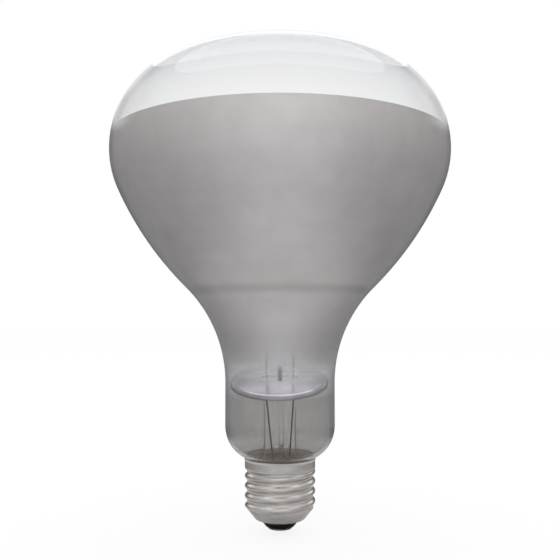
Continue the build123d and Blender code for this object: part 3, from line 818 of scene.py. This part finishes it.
def build_floor():
    """A wide pale floor just under the cap."""
    bm = bmesh.new()
    bmesh.ops.create_grid(bm, x_segments=1, y_segments=1, size=FLOOR_REACH)
    bmesh.ops.translate(bm, verts=bm.verts, vec=(0, 0, -FLOOR_DROP))
    floor = piece_from_bmesh(bm, "floor")
    material, tree, shader = new_material("pale_floor")
    shader.inputs["Roughness"].default_value = 0.9
    shader.inputs["Specular IOR Level"].default_value = 0.1
    place = tree.nodes.new("ShaderNodeTexCoord").outputs["Object"]
    # painted light and shade of the room, in the colour that the lamp sees
    by_side = ramp(tree, front_share(tree, place), [
        (0.0, 0.29), (0.5, 0.39), (0.85, 0.55), (1.0, 0.9)])
    distance = vector_node(tree, "LENGTH", place).outputs["Value"]
    by_distance = ramp(tree, math_node(tree, "MULTIPLY", distance, 2.0), [
        (0.04, 0.8), (0.14, 1.0), (0.4, 0.67), (0.62, 1.0)])
    close = ramp(tree, math_node(tree, "MULTIPLY", distance, 4.0), [(0.25, 1.0), (0.5, 0.0)])
    pale = mix_colours(tree, 1.0, by_side, by_distance, "MULTIPLY")
    pale = mix_colours(tree, close, pale, (0.82, 0.81, 0.8))
    seen = seen_directly(tree)
    tree.links.new(mix_colours(tree, seen, pale, (0.16, 0.16, 0.16)), shader.inputs["Base Color"])
    shader.inputs["Emission Color"].default_value = (0.87, 0.87, 0.87, 1.0)
    tree.links.new(seen, shader.inputs["Emission Strength"])
    floor.data.materials.append(material)
    return floor


print(build_floor().name, "lies", FLOOR_DROP / MM, "mm under the cap")

# %% [markdown]
# ## Studio light
# The world is white to look at. As light it is the tent round the lamp, by the direction that
# a ray goes: walls that are light in front and dark behind, a white sheet raised behind the
# lamp, and a pale roof. A picture of a studio could light it too, but these few ramps can be
# set one by one. A wide oval light hangs over the lamp: it is what the crown mirrors.

# %% Room
def build_room():
    """World: white to look at, and a soft tent as light."""
    world = bpy.data.worlds.new("studio")
    world.use_nodes = True
    scene.world = world
    tree = world.node_tree
    tree.nodes.clear()
    place = tree.nodes.new("ShaderNodeTexCoord").outputs["Generated"]
    share = front_share(tree, place)
    walls = ramp(tree, share, [(0.0, 0.13), (0.15, 0.21), (0.5, 0.42), (0.85, 0.6), (1.0, 0.86)])
    split = tree.nodes.new("ShaderNodeSeparateXYZ")
    tree.links.new(place, split.inputs["Vector"])
    raised = ramp(tree, split.outputs["Z"], [(0.25, 0.0), (0.33, 1.0)])
    behind = ramp(tree, share, [(0.18, 1.0), (0.36, 0.0)])
    sheet = mix_colours(tree, 1.0, behind, raised, "MULTIPLY")
    tent = mix_colours(tree, sheet, walls, (1.0, 1.0, 1.0))
    overhead = ramp(tree, split.outputs["Z"], [(0.47, 0.0), (0.64, 1.0)])
    light = tree.nodes.new("ShaderNodeBackground")
    tree.links.new(mix_colours(tree, overhead, tent, (0.62, 0.63, 0.645)), light.inputs["Color"])
    white = tree.nodes.new("ShaderNodeBackground")
    white.inputs["Color"].default_value = (1.0, 1.0, 1.0, 1.0)
    mix = tree.nodes.new("ShaderNodeMixShader")
    end = tree.nodes.new("ShaderNodeOutputWorld")
    tree.links.new(seen_directly(tree), mix.inputs["Fac"])
    tree.links.new(light.outputs["Background"], mix.inputs[1])
    tree.links.new(white.outputs["Background"], mix.inputs[2])
    tree.links.new(mix.outputs["Shader"], end.inputs["Surface"])


build_room()
print("world", scene.world.name, "with", len(scene.world.node_tree.nodes), "nodes")


# %% Overhead light
def add_oval_light(place, across, deep, brightness):
    """An oval area lamp that points straight down. Its brightness counts as the world's does."""
    lamp = bpy.data.lights.new("overhead_light", "AREA")
    lamp.shape = "ELLIPSE"
    lamp.size = across
    lamp.size_y = deep
    lamp.color = (0.94, 0.965, 1.0)
    area = pi * across * deep / 4
    lamp.energy = brightness * pi * area
    obj = bpy.data.objects.new("overhead_light", lamp)
    obj.location = place
    obj.visible_transmission = False
    scene.collection.objects.link(obj)
    return obj


light = add_oval_light(place=(0.0, 0.1, 1.16), across=1.72, deep=1.14, brightness=0.78)
print("light of", round(light.data.energy, 2), "W at", [round(v, 2) for v in light.location])

# %% [markdown]
# ## Camera
# The camera stands at the height of the lamp's waist and looks three degrees up, close enough
# for the perspective that the photograph shows. A long lens from far away would flatten the
# film's edge to a line. A ray crosses many skins of glass and film on its way through the
# lamp, so it is allowed many bounces.

# %% Camera
CAMERA_DISTANCE = 0.279
EYE_HEIGHT = 0.0783
CAMERA_PITCH = radians(3.0)
SENSOR = 36.0
FOCAL_PIXELS = 740.0
FRAME_PIXELS = 560.0
SKIN_BOUNCES = 32

camera_data = bpy.data.cameras.new("camera")
camera_data.sensor_width = SENSOR
camera_data.lens = SENSOR * FOCAL_PIXELS / FRAME_PIXELS
camera_data.clip_start = 0.01
camera = bpy.data.objects.new("camera", camera_data)
camera.location = (0.0, -CAMERA_DISTANCE, EYE_HEIGHT)
camera.rotation_euler = (pi / 2 + CAMERA_PITCH, 0.0, 0.0)
scene.collection.objects.link(camera)
scene.camera = camera
scene.view_settings.view_transform = "Standard"
scene.cycles.max_bounces = SKIN_BOUNCES
scene.cycles.transmission_bounces = SKIN_BOUNCES
scene.cycles.transparent_max_bounces = SKIN_BOUNCES
print("camera", round(CAMERA_DISTANCE / MM), "mm away, lens", round(camera_data.lens, 1), "mm")
